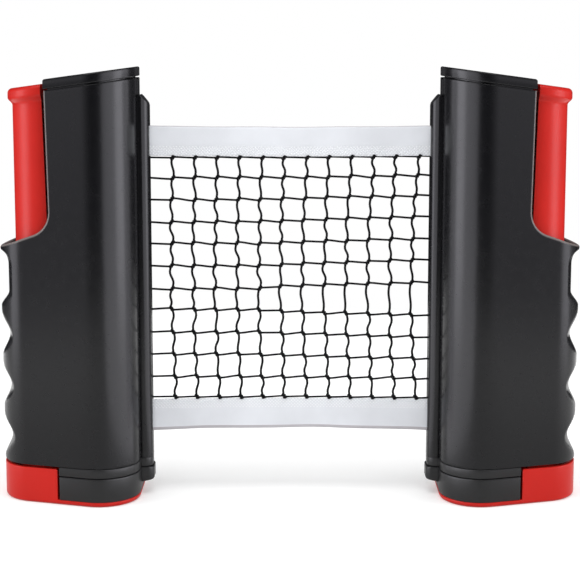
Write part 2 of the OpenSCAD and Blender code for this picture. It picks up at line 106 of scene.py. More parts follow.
def grip_reach(z):
    """Radius of the grip about its crown line: finger ridges, long hollow, cove under the lip."""
    up, to_lip = z - ridge_z, np.clip(under_lip - z, 0, cove_h)
    ridge = (1 + np.cos(2 * math.pi * up / finger_pitch)) / 2
    climb = (1 + np.cos(math.pi * np.clip(up / climb_h, 0, 1))) / 2
    cove = 1 - np.sqrt(1 - (1 - to_lip / cove_h) ** 2)
    return hollow_r + finger_depth * np.where(up <= 0, ridge, np.maximum(climb, cove))


def grip_cut(a, z, soft=1.6):
    """Depth of the grip's face under the outline, with the edge between the two rounded."""
    d, r2 = grip_u - crown_u, grip_reach(z)
    fx = ((r2 - soft) ** 2 - (corner_r - soft) ** 2 + d ** 2) / (2 * d)
    fy = np.sqrt(np.clip((r2 - soft) ** 2 - fx ** 2, 0, None))
    a_edge = np.arctan2(fy, fx - d)
    a_face = np.arctan2(fy * r2 / (r2 - soft), fx * r2 / (r2 - soft) - d)

    def to_circle(x, y, r):
        b = np.cos(a) * (d - x) - np.sin(a) * y
        return -b + np.sqrt(np.clip(b ** 2 - (d - x) ** 2 - y ** 2 + r ** 2, 0, None))

    q = np.where(a > a_face, to_circle(fx, fy, soft), to_circle(0, 0, r2))
    q = np.where(a >= a_edge, corner_r, q)
    return np.where(z > under_lip + 0.01, 0, np.clip(corner_r - q, 0, None))


def rounded(e, r):
    """How far a rounded edge has fallen away at a distance e from it."""
    return r - np.sqrt(r ** 2 - (r - np.clip(e, 0, r)) ** 2)


def curl(r, n):
    """Distances from an edge that cut its rounding into even steps."""
    return [r * (1 - math.cos(math.pi / 2 * i / n)) for i in range(n + 1)]


def casing_rows(top):
    """Heights of the grid's rows on a line that goes up to the height top."""
    z = [casing_z + e for e in curl(rim_r, 3)] + list(np.linspace(casing_z + 1.2, ridge_z, 55))
    z += list(np.linspace(ridge_z, ridge_z + climb_h, 9)[1:])
    z += list(np.linspace(ridge_z + climb_h, under_lip - cove_h, 5)[1:])
    z += [under_lip - cove_h * (1 - math.sin(math.radians(k))) for k in range(9, 90, 9)]
    z += [under_lip + e for e in (0, 0.1, 0.2)]
    return np.array(z + list(np.linspace(z[-1], top, 6)[1:]))


edge_rows = [1.15] + curl(edge_r, 6)[::-1]
s_turn = s_at(saddle_u - saddle_r * math.sin(saddle_lean))
seam_rows = curl(rim_r, 3) + [1.3]
rail_line_top, rail_line_low = 185.4, 62.0  # lines start behind the rail, then round the casing's foot
foot_line = [(0, 50), (0, 38), (0, 27), (0, casing_z)]
foot_line += [(s, casing_z) for s in (3, 7, 12, 18, 24.5, 31, 38, 45, 52.5, s_turn)]
grip_s = list(np.linspace(s_turn, s_end - 21, 6)[1:]) + list(np.linspace(s_end - 21, s_end - 0.4, 54)[1:])
grip_s += [s_end - 0.15, s_end - 0.05, s_end]
even = (casing_rows(lip_z - 1) - casing_z) / (lip_z - 1 - casing_z)
S, Z, edge_far = [], [], []


def add_line(a, b, toward, seam_e=None):
    """One line of the grid from a, behind the rail or at the foot, to b on the opening's edge."""
    b1 = b - toward * edge_rows[0]
    share = (casing_rows(b1[1]) - casing_z) / (b1[1] - casing_z)
    mix = min(max((b[1] - 119.4) / 20, 0), 1)
    share = share * (1 - mix) + even * mix
    p = [a + (b1 - a) * k for k in share] + [b - toward * e for e in edge_rows[1:]]
    p = np.array(p)
    if seam_e is not None:
        p[:, 1] = top_z(outline(p[:, 0])[0][:, 0]) - cap_t - seam_e
    S.append(p[:, 0])
    Z.append(p[:, 1])
    edge_far.append(np.array([9.0] * len(share) + edge_rows[1:]))


for e in seam_rows:
    b = np.array([s_at(edge_top_u), edge_top_z])
    add_line(np.array([0, top_z(rail_u) - cap_t - e]), b, np.array([1, 0]), e)
for k in np.linspace(0, 1, 14)[1:]:
    z = (top_z(edge_top_u) - cap_t - seam_rows[-1]) * (1 - k) + saddle_z * k
    b = np.array([s_at(edge_top_u + (edge_low_u - edge_top_u) * (edge_top_z - z) / edge_h), z])
    add_line(np.array([0, rail_line_top + (rail_line_low - rail_line_top) * k]), b, np.array([1.0, 0]))
for k, foot in enumerate(foot_line, 1):
    k /= len(foot_line)
    ang = math.pi + (math.pi / 2 - saddle_lean) * k
    normal = -np.array([math.cos(ang), math.sin(ang)])
    toward = normal * (1 - k) + np.array([0, 1]) * k
    b = np.array([s_at(saddle_u + saddle_r * math.cos(ang)), saddle_z + saddle_r * math.sin(ang)])
    add_line(np.array(foot, float), b, toward / (toward @ normal))
for s in grip_s:
    b = np.array([s, lip_z + math.tan(saddle_lean) * (tip_u - outline(s)[0][0])])
    add_line(np.array([s, casing_z]), b, np.array([0, 1 / math.cos(saddle_lean)]))
S, Z, edge_far = np.array(S), np.array(Z), np.array(edge_far)


def casing_points(inner):
    """The grid's points on the casing's outer or inner face, in mm."""
    p, n, a = outline(S)
    round_off = rounded(edge_far, edge_r)
    round_off = np.maximum(round_off, rounded(Z - casing_z, rim_r))
    round_off = np.maximum(round_off, rounded(top_z(p[..., 0]) - cap_t - Z, rim_r))
    round_off = np.maximum(round_off, 0.2 * np.clip(1 - (s_end - S) / 0.2, 0, 1))
    lip = np.clip(1 - (Z - under_lip) / 0.35, 0, 1) * (Z > under_lip - 0.01)
    cut, under = grip_cut(a, Z), grip_cut(a, np.minimum(Z, under_lip - 0.05))
    t = cut + round_off + np.minimum(0.35 * lip ** 2, under)
    if inner:
        ring = chamber_r + 2 * np.clip((Z - lip_z + 6) / 12, 0, 1)
        b = (grip_u - crown_u) * np.cos(a)
        q = -b + np.sqrt(b ** 2 - (grip_u - crown_u) ** 2 + ring ** 2)
        t = np.where(S > bend_l + flank_l, np.maximum(wall_t, corner_r - q), wall_t)
        t = t - rounded(edge_far, 0.3)
    return np.concatenate([p - n * t[..., None], Z[..., None]], -1)


def clear():
    """Back to object mode with nothing selected."""
    if bpy.context.mode != "OBJECT":
        bpy.ops.object.mode_set(mode="OBJECT")
    bpy.ops.object.select_all(action="DESELECT")


def only(piece):
    """Selects one piece and makes it the active one."""
    clear()
    piece.select_set(True)
    bpy.context.view_layer.objects.active = piece


def edit(piece):
    """Opens one piece in edit mode, all of it selected."""
    only(piece)
    bpy.ops.object.mode_set(mode="EDIT")
    bpy.ops.mesh.select_all(action="SELECT")


def settled():
    """Settles the placement of what was just added."""
    bpy.ops.object.transform_apply(location=True, rotation=True, scale=True)
    return bpy.context.object


def points(piece):
    """The piece's points as an array, in metres."""
    co = np.zeros(len(piece.data.vertices) * 3)
    piece.data.vertices.foreach_get("co", co)
    return co.reshape(-1, 3)


def move_points(piece, co):
    piece.data.vertices.foreach_set("co", np.ascontiguousarray(co, float).ravel())
    piece.data.update()


def apply(piece, kind, **settings):
    """Adds a modifier with its settings and applies it."""
    only(piece)
    m = piece.modifiers.new(kind.lower(), kind)
    for key, value in settings.items():
        setattr(m, key, value)
    bpy.ops.object.modifier_apply(modifier=m.name)


def close_up(piece, angle=35):
    """Settles a piece's placement, outward faces and smooth shading."""
    only(piece)
    settled()
    edit(piece)
    bpy.ops.mesh.normals_make_consistent(inside=False)
    bpy.ops.object.mode_set(mode="OBJECT")
    bpy.ops.object.shade_smooth_by_angle(angle=math.radians(angle))


def soften(piece, r, n, where):
    """Rounds the sharp edges whose middle, as (u, y, z) in mm in the right post, passes where."""
    only(piece)
    bpy.ops.object.mode_set(mode="EDIT")
    bpy.ops.mesh.select_mode(type="EDGE")
    bpy.ops.mesh.select_all(action="DESELECT")
    bm = bmesh.from_edit_mesh(piece.data)
    for e in bm.edges:
        m = (e.verts[0].co + e.verts[1].co) / 2 / mm
        if len(e.link_faces) == 2 and e.calc_face_angle() > 0.5 and where(m.x - net_half, m.y, m.z):
            e.select_set(True)
    bmesh.update_edit_mesh(piece.data)
    bpy.ops.mesh.bevel(offset=r * mm, segments=n, profile=0.5, clamp_overlap=True)
    bpy.ops.object.mode_set(mode="OBJECT")


def trim(piece, point, away):
    """Cuts a piece along a plane and closes it; what lies on the away side goes."""
    edit(piece)
    u, y, z = point
    bpy.ops.mesh.bisect(plane_co=((net_half + u) * mm, y * mm, z * mm), plane_no=away, use_fill=True,
                        clear_outer=True)
    bpy.ops.object.mode_set(mode="OBJECT")


def block(u0, u1, y0, y1, z0, z1):
    """A block of the right post, in mm."""
    clear()
    middle = ((net_half + (u0 + u1) / 2) * mm, (y0 + y1) / 2 * mm, (z0 + z1) / 2 * mm)
    bpy.ops.mesh.primitive_cube_add(size=1, location=middle,
                                    scale=((u1 - u0) * mm, (y1 - y0) * mm, (z1 - z0) * mm))
    return settled()


def round_bar(u, y, z0, z1, r, sides=96):
    """An upright round bar of the right post, in mm."""
    clear()
    bpy.ops.mesh.primitive_cylinder_add(vertices=sides, radius=r * mm, depth=(z1 - z0) * mm,
                                        location=((net_half + u) * mm, y * mm, (z0 + z1) / 2 * mm))
    return settled()


def cross_bar(u, z, y0, y1, r, sides=48):
    """A round bar from front to back through the right post, in mm."""
    clear()
    bpy.ops.mesh.primitive_cylinder_add(vertices=sides, radius=r * mm, depth=(y1 - y0) * mm,
                                        rotation=(math.pi / 2, 0, 0),
                                        location=((net_half + u) * mm, (y0 + y1) / 2 * mm, z * mm))
    return settled()


def outline_prism(inset, z0, z1):
    """The casing's outline, drawn in by inset, as a solid: the hull of its three round corners."""
    corners = [(rail_u + corner_r, corner_y), (rail_u + corner_r, -corner_y), (grip_u, 0)]
    prism = join([round_bar(u, y, z0, z1, corner_r - inset, 120) for u, y in corners], "prism")
    edit(prism)
    bpy.ops.mesh.convex_hull()
    bpy.ops.mesh.select_all(action="SELECT")
    bpy.ops.mesh.dissolve_limited(angle_limit=math.radians(0.6))
    bpy.ops.object.mode_set(mode="OBJECT")
    return prism


def carve(piece, tool, how="DIFFERENCE"):
    """Cuts a piece with a tool, or welds the two, and removes the tool."""
    apply(piece, "BOOLEAN", object=tool, operation=how, solver="EXACT")
    bpy.data.objects.remove(tool)


def join(pieces, name):
    """Makes one piece of several."""
    clear()
    for p in pieces:
        p.select_set(True)
    bpy.context.view_layer.objects.active = pieces[0]
    if len(pieces) > 1:
        bpy.ops.object.join()
    pieces[0].name = name
    return pieces[0]


def mirror(piece, flip):
    """Mirrors a piece across the axes of flip and turns its faces back outwards."""
    edit(piece)
    bpy.ops.transform.resize(value=flip, center_override=(0, 0, 0))
    bpy.ops.mesh.flip_normals()
    bpy.ops.object.mode_set(mode="OBJECT")
    return piece


def copy_of(piece, name, flip=(-1, 1, 1)):
    """A mirrored copy with its own mesh."""
    only(piece)
    bpy.ops.object.duplicate()
    twin = mirror(bpy.context.object, flip)
    twin.name = name
    return twin


def two_faced_grid(n, m):
    """A flat grid of n by m faces with a second face; each point's row, column and whether it is on that."""
    clear()
    bpy.ops.mesh.primitive_grid_add(x_subdivisions=n, y_subdivisions=m, size=1)
    piece = bpy.context.object
    apply(piece, "SOLIDIFY", thickness=0.01, offset=-1)
    co = points(piece)
    i, j = np.rint((co[:, :2] + 0.5) * (n, m)).astype(int).T
    return piece, i, j, np.abs(co[:, 2]) > 0.005


# the wall starts as a flat grid of two faces, which are laid on the casing's outer and inner face
rear, i, j, second = two_faced_grid(S.shape[0] - 1, S.shape[1] - 1)
laid = np.where(second[:, None], casing_points(True)[i, j], casing_points(False)[i, j])
laid[:, 0] += net_half
# painted highlight: a weight along the outer face's rolled edge at the opening, which makes its colour paler
# there
edge_glint = np.where(second, 0, np.clip(1.6 - 1.6 * edge_far / edge_r, 0, 1)[i, j])
rear.data.attributes.new("painted_edge_highlight", "FLOAT", "POINT").data.foreach_set("value", edge_glint)
move_points(rear, laid * mm)
close_up(rear)
front = [copy_of(rear, "front", (1, -1, 1))]

# the lip of the net rail, with the slot that the net runs through
curve_w, curve_h = 3.7, 5.2
rail = block(0, 5.2, 0, 5.5, casing_z, 179.4)
for a in range(5, 90, 8):  # the top curves down to the net
    a = math.radians(a)
    trim(rail, (curve_w - curve_w * math.sin(a), 0, 174.2 + curve_h * math.cos(a)),
         (-curve_h * math.sin(a), 0, curve_w * math.cos(a)))
soften(rail, 1.4, 6, lambda u, y, z: z > 179 and u > 5.1)
soften(rail, 0.9, 4, lambda u, y, z: y > 5.4 and (u > 0.1 or z > 178) and z > casing_z + 1)
for a in range(8, 88, 11):  # the net side is well rounded
    a = math.radians(a)
    trim(rail, (3 - 3 * math.sin(a), 2.5 + 3 * math.cos(a), 0), (-math.sin(a), math.cos(a), 0))
carve(rail, block(-1, 8, -1, 1.2, 28.02, 165.8))
soften(rail, 0.4, 3, lambda u, y, z: u < 0.1 and abs(y - 1.2) < 0.01)
rail = join([rail, block(4, 7.2, 1.2, 4.2, casing_z, 176), block(4, 7.2, 0, 4.2, casing_z, 28),
             block(4, 7.2, 0, 4.2, 165.8, 176), block(5, 7.2, 0, 4, 175, 186)], "rail")

# inside: floor, the plate over the spool, partition and the spring's shelf
inside = [rail]
for z0, z1 in ((casing_z + 0.01, floor_top), (177.2, 180.2)):
    plate = outline_prism(wall_t / 2, z0, z1)
    trim(plate, (0, 0, 0), (0, -1, 0))
    trim(plate, (part_u + 1, 0, 0), (1, 0, 0))
    inside.append(plate)
slope = (math.sin(top_slope), 0, math.cos(top_slope))
partition = block(part_u, part_end, 0, 19, casing_z + 0.02, 190)
trim(partition, (rail_u, 0, post_top - cap_t - 0.05), slope)
shelf = block(part_u + 1, 56, 0, 6, shelf_z, shelf_z + 3)
soften(shelf, 0.5, 3, lambda u, y, z: u > 50)
inside += [partition, shelf]
front += [copy_of(p, "inside", (1, -1, 1)) for p in inside]


def boss(u, z, r, y0):
    """A screw boss from y0 to the middle of the rear wall."""
    s = s_at(u) if u > 27 else flat_l + corner_r * (math.pi - math.acos((u - rail_u - corner_r) / corner_r))
    p, n, _ = outline(s)
    bar = cross_bar(u, z, y0, float(p[1]) + 3, r)
    trim(bar, (u, float(p[1]) - wall_t / 2, z), (float(n[0]), float(n[1]), 0))
    return bar


# screw bosses; those at the rear have the holes in which the screw heads sit
for u, z in screw_spots:
    front.append(mirror(boss(u, z, 2.6, 0), (1, -1, 1)))
    seat = boss(u, z, 3.5, 9.4)
    carve(seat, cross_bar(u, z, 11, 30, 2.6))
    carve(rear, cross_bar(u, z, 14, 30, 2.6))
    inside.append(seat)
right_rear = join([rear] + inside, "right_rear_casing")
right_front = join(front, "right_front_casing")
for shell in (right_rear, right_front):
    close_up(shell)
left_rear, left_front = copy_of(right_rear, "left_rear_casing"), copy_of(right_front, "left_front_casing")


def feed(tree, node, **values):
    """Sets a node's inputs to numbers and colours, or links them to the outputs of other nodes."""
    for key, v in values.items():
        socket = node.inputs[key.replace("_", " ")]
        if isinstance(v, bpy.types.NodeSocket):
            tree.links.new(v, socket)
        else:
            socket.default_value = v
    return node


def node(tree, kind, **values):
    """A new node with its inputs fed."""
    return feed(tree, tree.nodes.new("ShaderNode" + kind), **values)


def mixed(tree, a, b, share):
    """A mix of two colours."""
    mix = node(tree, "Mix")
    mix.data_type = "RGBA"
    return feed(tree, mix, A=a, B=b, Factor=share).outputs["Result"]


def relief(tree, height, strength, depth):
    """A bump by a height, at most depth deep, in metres."""
    return node(tree, "Bump", Height=height, Strength=strength, Distance=depth).outputs["Normal"]


def plastic(name, colour, rough, grain=0.05, speckle=0.06, **more):
    """Moulded plastic: fine eroded grain, slightly uneven colour and gloss."""
    mat = bpy.data.materials.new(name)
    mat.use_nodes = True
    tree = mat.node_tree
    place = node(tree, "TexCoord").outputs["Object"]

    def cloudy(scale, detail):
        return node(tree, "TexNoise", Vector=place, Scale=scale, Detail=detail).outputs["Fac"]

    def ramp(value, low, high):
        n = node(tree, "MapRange", Value=value, From_Min=0.3, From_Max=0.7, To_Min=low, To_Max=high)
        return n.outputs["Result"]

    dark, light = ([min(c * k, 1) for c in colour] + [1] for k in (1 - speckle, 1 + speckle))
    feed(tree, tree.nodes["Principled BSDF"], Base_Color=mixed(tree, dark, light, ramp(cloudy(45, 4), 0, 1)),
         Roughness=ramp(cloudy(300, 3), rough - 0.02, rough + 0.02),
         Normal=relief(tree, cloudy(2600, 2), grain, 0.0001), **more)
    return mat


def finish_with(piece, mat):
    """Gives the whole piece one material."""
    piece.data.materials.clear()
    piece.data.materials.append(mat)


black = plastic("satin black plastic", (0.0036, 0.0036, 0.0045), 0.26, 0.02, Specular_IOR_Level=0.33)
tree = black.node_tree
shader = tree.nodes["Principled BSDF"]
edge = node(tree, "Attribute")  # painted highlight: the rolled edge of the opening is made paler where light would catch it
edge.attribute_name = "painted_edge_highlight"
plain = shader.inputs["Base Color"].links[0].from_socket
# painted highlight: the base colour turns pale along the rolled edge of the opening
feed(tree, shader, Base_Color=mixed(tree, plain, (0.18, 0.155, 0.15, 1), edge.outputs["Fac"]))
for side, shells in (("left", (left_front, left_rear)), ("right", (right_front, right_rear))):
    for shell, which in zip(shells, ("front_shell", "rear_shell")):
        finish_with(shell, black)
        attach(shell, side + "_post")
        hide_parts(f"{side}_{which}")

# ------------------------------------------------------------------ caps
# A sloping cap of the same plastic is pressed into each casing. Its upper edge is well rounded,
# and a shadow groove runs between it and the shells.
groove_h, core_h, core_in, downhill = 0.65, 0.8, 1.8, tuple(-c for c in slope)
cap = outline_prism(0, 175, 196)
trim(cap, (rail_u, 0, post_top), slope)
trim(cap, (rail_u, 0, post_top - cap_t + groove_h), downhill)
trim(cap, (edge_top_u, 0, 0), (1, 0, 0))
soften(cap, 0.9, 5, lambda u, y, z: z > top_z(u) - 0.05)
soften(cap, 0.4, 3, lambda u, y, z: z < top_z(u) - cap_t + 0.8 and u < edge_top_u - 0.1)
core = outline_prism(core_in, 175, 196)
trim(core, (rail_u, 0, post_top - cap_t + core_h), slope)
trim(core, (rail_u, 0, post_top - cap_t), downhill)
trim(core, (edge_top_u - core_in, 0, 0), (1, 0, 0))
right_cap = join([cap, core], "right_cap")
close_up(right_cap)
left_cap = copy_of(right_cap, "left_cap")
for side, piece in (("left", left_cap), ("right", right_cap)):
    finish_with(piece, black)
    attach(piece, side + "_post")
    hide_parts(side + "_top_cap")

# ------------------------------------------------------------------ jaw pads
# Black rubber pads face each other across the jaw: one glued under the casing, with a tongue
# under the rail, the other on the foot's plate, with a lug at the net end.
pad_end, tongue_y, plate_t = 39.6, 5.5, 2.2
upper_z, lower_z = 13.0, 12.7  # the faces that meet in the closed jaw
upper = outline_prism(0, upper_z, casing_z)
trim(upper, (pad_end, 0, 0), (1, 0, 0))
soften(upper, 0.35, 3, lambda u, y, z: z < upper_z + 0.1 or z > casing_z - 0.1)
tongue = block(0, 10, -tongue_y, tongue_y, upper_z, casing_z)
soften(tongue, 3.1, 7, lambda u, y, z: u < 0.1 and 13.5 < z < 16.5)
soften(tongue, 0.35, 3, lambda u, y, z: u < 9 and (z < upper_z + 0.1 or z > casing_z - 0.1))
right_upper = join([upper, tongue], "right_upper_pad")
lower = outline_prism(0, plate_t, lower_z)
trim(lower, (pad_end, 0, 0), (1, 0, 0))
soften(lower, 0.6, 4, lambda u, y, z: z > lower_z - 0.1)
soften(lower, 0.4, 3, lambda u, y, z: z < plate_t + 0.1 or (u > pad_end - 0.1 and abs(y) > 15))
lug_u, lug_low, lug_slant = -0.6, 6.9, math.atan(1.4 / 6.6)
lug = block(lug_u, 6, -tongue_y, tongue_y, 4, lower_z)
trim(lug, (lug_u, 0, lug_low), (-math.sin(lug_slant), 0, -math.cos(lug_slant)))
soften(lug, 2.4, 6, lambda u, y, z: u < lug_u + 0.1 and 7.5 < z < 12.5)
soften(lug, 0.6, 4, lambda u, y, z: u < 5.9 and (z > lower_z - 0.1 or z < lug_low + 0.3))
right_lower = join([lower, lug], "right_lower_pad")
rubber = plastic("black pad rubber", (0.009, 0.009, 0.0095), 0.34, 0.12, 0.1, Specular_IOR_Level=0.4)
for right_piece, body, pad in ((right_upper, "_post", "_upper_jaw_pad"),
                               (right_lower, "_slider", "_lower_jaw_pad")):
    close_up(right_piece)
    left_piece = copy_of(right_piece, right_piece.name.replace("right", "left"))
    for side, piece in (("left", left_piece), ("right", right_piece)):
        finish_with(piece, rubber)
        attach(piece, side + body)
        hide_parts(side + pad)

# ------------------------------------------------------------------ feet
# Red feet: a thin plate under the lower pad and a hollow block below the grip, moulded in one,
# with a rounded underside. Two screws hold each to the heel of its plunger.
foot_h, heel_u, heel_z = 15.9, 40.4, 4.4
right_foot = outline_prism(0, 0, foot_h)
right_foot.name = "right_foot_shell"
soften(right_foot, 1.5, 5, lambda u, y, z: z < 0.1)
carve(right_foot, block(-5, heel_u, -30, 30, plate_t, 20))
pocket = outline_prism(wall_t, heel_z, 20)
trim(pocket, (heel_u + wall_t, 0, 0), (-1, 0, 0))
carve(right_foot, pocket)
soften(right_foot, 0.5, 4, lambda u, y, z: z > foot_h - 0.1 or (abs(z - plate_t) < 0.05 and u < 40)
       or (u < heel_u + 0.1 and z > 3))
for y in (-7, 7):  # counterbores of the screws
    carve(right_foot, round_bar(spring_u, y, -1, 2.2, 2.6, 48))
close_up(right_foot)
left_foot = copy_of(right_foot, "left_foot_shell")
red = plastic("satin red plastic", (0.52, 0.012, 0.007), 0.33, 0.05, 0.04, Specular_IOR_Level=0.22)
for side, piece in (("left", left_foot), ("right", right_foot)):
    finish_with(piece, red)
    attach(piece, side + "_slider")
    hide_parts(side + "_foot")

# ------------------------------------------------------------------ plungers
# The thumb plunger is one red moulding: a flared rim on top, a column that is open towards the
# casing and runs down inside the grip, a ceiling for the spring and a heel for the foot's screws.
plunger_u, plunger_r, rim_out, rim_z, rim_round = 45.3, 14.5, 2.0, -3.9, 1.9
flare_z, flare_h, level_top = -9.3, 3.4, 200.0  # heights below zero are from the top, which slopes later
clear()
bpy.ops.mesh.primitive_circle_add(vertices=128, radius=plunger_r * mm, fill_type="NGON",
                                  location=((net_half + plunger_u) * mm, 0, heel_z * mm))
plunger = settled()
profile = [(plunger_r, 160), (plunger_r, -10.6)]  # radius and height
for k in range(9):
    profile.append((plunger_r + rim_out * (1 - math.cos(math.pi * k / 8)) / 2, flare_z + flare_h * k / 8))
profile += [(plunger_r + rim_out, -5.6), (plunger_r + rim_out, rim_z)]
for k in range(1, 10):
    a = math.pi / 2 * k / 9
    profile.append((plunger_r + rim_out - rim_round * (1 - math.cos(a)), rim_z + rim_round * math.sin(a)))
edit(plunger)
centre = ((net_half + plunger_u) * mm, 0, 0)
r_now, z_now = plunger_r, heel_z
for r, z in profile:
    z_next = z if z > 0 else level_top + z
    bpy.ops.mesh.extrude_region_move(TRANSFORM_OT_translate={"value": (0, 0, (z_next - z_now) * mm)})
    bpy.ops.transform.resize(value=(r / r_now, r / r_now, 1), center_override=centre)
    r_now, z_now = r, z_next
bpy.ops.object.mode_set(mode="OBJECT")
co = points(plunger)
high = co[:, 2] > 0.17
co[high, 2] += (top_z(co[high, 0] / mm - net_half) - level_top) * mm
move_points(plunger, co)
close_up(plunger)
gap, lean = 1.5, 0.023  # a narrow dark gap is left along the casing's opening
trim(plunger, (edge_top_u + gap, 0, edge_top_z), (-1, 0, lean))
trim(plunger, (43.55, 0, 0), (-1, 0, 0))
carve(plunger, block(40, 44.6, 0, 18, 0, 168))  # clear of the screw seats in the rear shell
carve(plunger, round_bar(plunger_u, 0, 9.4, 176.3, plunger_r - 2, 128))
soften(plunger, 0.2, 3,
       lambda u, y, z: u < edge_top_u + gap + 0.05 + lean * (z - edge_top_z) and z > top_z(u) - 5)
spigot = round_bar(spring_u, 0, 171.3, 177, 3, 48)
soften(spigot, 0.5, 3, lambda u, y, z: z < 171.4)
right_plunger = join([plunger, spigot], "right_thumb_plunger")
close_up(right_plunger)
left_plunger = copy_of(right_plunger, "left_thumb_plunger")
for side, piece in (("left", left_plunger), ("right", right_plunger)):
    finish_with(piece, red)
    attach(piece, side + "_slider")
    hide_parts(side + "_plunger")

# ------------------------------------------------------------------ springs, spindles and screws
# Each post's clamp spring sits on a turned guide, and its spool turns on a steel spindle. Five
# screws hold the shells together and two hold the foot; the springs are drawn wire and strip.


def steel(name, colour, rough, lines, cloud):
    """Drawn or plated steel: fine lines along it, and cloudy patches in its colour and gloss."""
    mat = plastic(name, colour, rough, 0.08, cloud, Metallic=1.0)
    tree = mat.node_tree
    stretched = node(tree, "Mapping", Vector=node(tree, "TexCoord").outputs["Object"], Scale=(1, 1, lines))
    fine = node(tree, "TexNoise", Vector=stretched.outputs["Vector"], Scale=1800, Detail=2)
    feed(tree, tree.nodes["Bump"], Height=fine.outputs["Fac"])
    return mat


spring_wire = steel("drawn spring wire", (0.42, 0.42, 0.44), 0.3, 1.0, 0.12)
zinc = steel("bright zinc plate", (0.60, 0.61, 0.64), 0.24, 0.03, 0.08)

# ------------------------------------------------------------------ spools
# The net winds on a grey spool, with its end trapped by a white rod. A black drum on top holds
# the flat rewind spring under a grey lid, and white bushes keep the spool off the casing.
spool_grey = plastic("moulded grey plastic", (0.24, 0.24, 0.26), 0.42, 0.08, 0.05)
drum_black = plastic("matt black plastic", (0.028, 0.028, 0.029), 0.5, 0.12, 0.08)
acetal = plastic("white acetal", (0.78, 0.78, 0.755), 0.36, 0.04, 0.02)
inner_finish = {
    "clamp_spring": spring_wire, "rewind_spring": spring_wire, "spring_guide": zinc, "spindle": zinc,
    "casing_screws": zinc, "foot_screws": zinc, "spool": spool_grey, "drum_lid": spool_grey,
    "spring_drum": drum_black, "net_rod": acetal, "lower_bush": acetal, "upper_bush": acetal}
for side in ("left", "right"):
    for part, mat in inner_finish.items():
        finish_with(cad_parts[f"{side}_{part}"], mat)

# ------------------------------------------------------------------ net
# Knotted black nylon cord, 1 mm thick, in 10 mm meshes. The drawn-out part hangs between the
# posts; what is drawn out later lies gathered in the rails' slots, squeezed along the net.
cord_r, wound_r, knot_r, pitch, row_pitch = 0.52, 0.36, 0.55, 9.85, 9.86
row_top, row_count, first_x = 152.0, 12, -51.5
border = (0, row_count - 1)  # the rows that are sewn into the tapes
slot_u, roll_side_u = 1.0, 7.0  # where the drawn-out part meets the gathered one, and where that ends
slot_x = net_half + slot_u
rng = np.random.default_rng(11)


def smooth(t):
    t = np.clip(t, 0, 1)
    return t * t * (3 - 2 * t)


def slant(row):
    """Which way the knots of a row lean."""
    return 1 if row <= 6 else -1


# heights of the rows at the left, right of the middle and at the right: the meshes are uneven
row_heights = [(151.7, 151.6, 152.2), (142.7, 142.8, 143.7), (133.0, 133.3, 134.8), (123.0, 123.5, 125.4),
               (113.4, 113.8, 115.5), (103.4, 103.9, 106.0), (93.0, 94.1, 95.7), (83.7, 82.6, 81.0),
               (73.3, 72.9, 70.9), (63.2, 62.8, 61.2), (53.0, 52.9, 52.0), (43.6, 43.9, 43.2)]


def row_z(row, x):
    """Height of a row of the net at x."""
    return np.interp(np.asarray(x, float), (-16, -5, 58), row_heights[row])


def distances(line):
    """How far along a line each of its points lies."""
    return np.concatenate([[0], np.cumsum(np.linalg.norm(np.diff(line, axis=0), axis=1))])


def tubes(name, paths, radii, sides):
    """One mesh of round cords along lists of points, in mm, with its UV map along and around."""
    verts, faces, uvs = [], [], []
    ring = [2 * math.pi * k / sides for k in range(sides)]
    for path, r in zip(paths, radii):
        p = np.asarray(path, float)
        t = np.gradient(p, axis=0)
        t /= np.linalg.norm(t, axis=1)[:, None]
        side = np.cross(t, (0, 1, 0))
        small = np.linalg.norm(side, axis=1) < 0.3
        side[small] = np.cross(t[small], (1, 0, 0))
        side /= np.linalg.norm(side, axis=1)[:, None]
        up = np.cross(t, side)
        along = distances(p)
        r = np.broadcast_to(r, len(p))
        base = len(verts)
        for q, s, n, w in zip(p, side, up, r):
            verts += [q + w * (math.cos(a) * s + math.sin(a) * n) for a in ring]
        for m in range(len(p) - 1):
            for k in range(sides):
                k2 = (k + 1) % sides
                a = base + m * sides
                faces.append((a + k, a + k2, a + sides + k2, a + sides + k))
                uvs += [(along[m], k / sides), (along[m], (k + 1) / sides),
                        (along[m + 1], (k + 1) / sides), (along[m + 1], k / sides)]
        faces.append(tuple(base + k for k in range(sides))[::-1])
        faces.append(tuple(base + (len(p) - 1) * sides + k for k in range(sides)))
        uvs += [(0, 0)] * sides + [(along[-1], 0)] * sides
    mesh = bpy.data.meshes.new(name)
    mesh.from_pydata((np.array(verts) * mm).tolist(), [], faces)
    layer = mesh.uv_layers.new(name="UVMap")
    layer.data.foreach_set("uv", np.array(uvs, float).ravel())
    piece = bpy.data.objects.new(name, mesh)
    bpy.context.collection.objects.link(piece)
    close_up(piece, 60)
    return piece


def knots_at(columns, bow):
    """Places of the knots, [column][row], in mm, with the unevenness of hand-tied meshes."""
    places = []
    for x in columns:
        column = []
        for row in range(row_count):
            kx = x - bow(x) * math.sin(math.pi * row / (row_count - 1)) + rng.uniform(-0.3, 0.3)
            column.append((kx, float(row_z(row, kx)) + rng.uniform(-0.22, 0.22) * (row not in border)))
        places.append(column)
    return places


